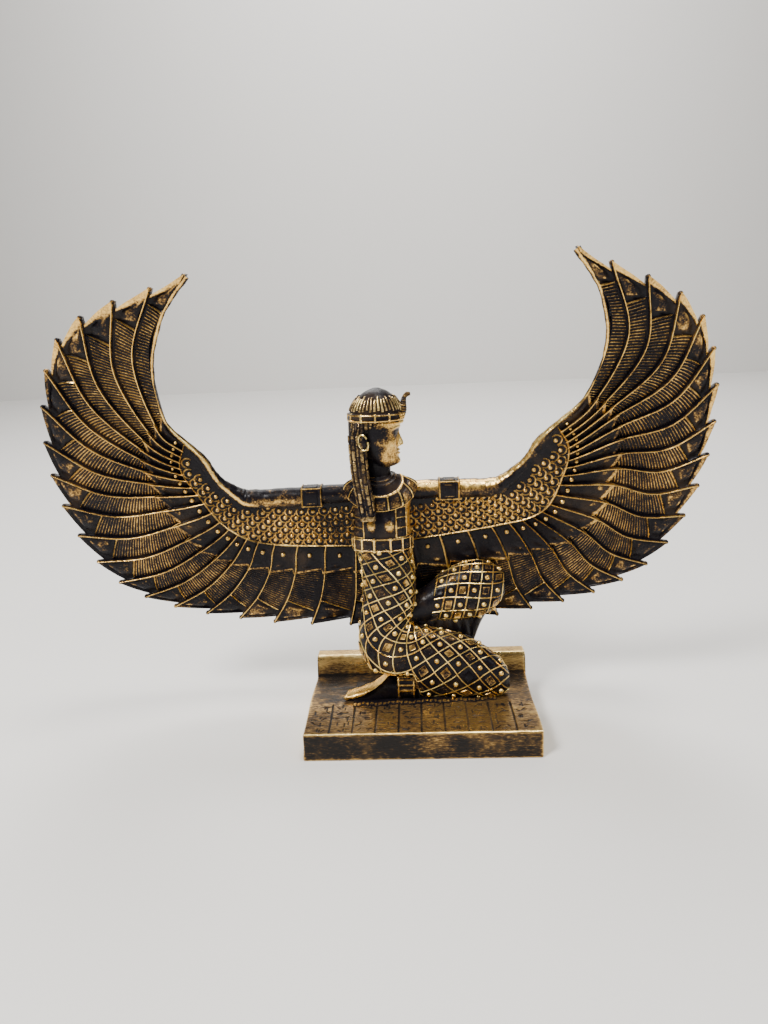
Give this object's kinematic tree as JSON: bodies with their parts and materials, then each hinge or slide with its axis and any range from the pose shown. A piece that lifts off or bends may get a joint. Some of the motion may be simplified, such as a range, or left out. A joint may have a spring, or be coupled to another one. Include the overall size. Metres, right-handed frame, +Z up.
{
  "type": "winged kneeling figure statuette",
  "caption": "Kneeling winged woman in side view, arms spread along two upswept feathered wings, on a rectangular plinth with a raised rear ledge.",
  "frame": {"origin": "middle of the plinth block's underside, on the surface it stands on", "axes": "+X along the plinth's length and the wingspan, the way the figure looks; +Y to the back, where the ledge is; +Z up"},
  "size_m": [0.3915, 0.09, 0.2893],
  "materials": {
    "antique_gold_on_charcoal": "satin",
    "brushed_bronze": "satin"
  },
  "bodies": {
    "root": {"winged_figure": "antique_gold_on_charcoal", "plinth": "brushed_bronze"}
  },
  "joints": []
}
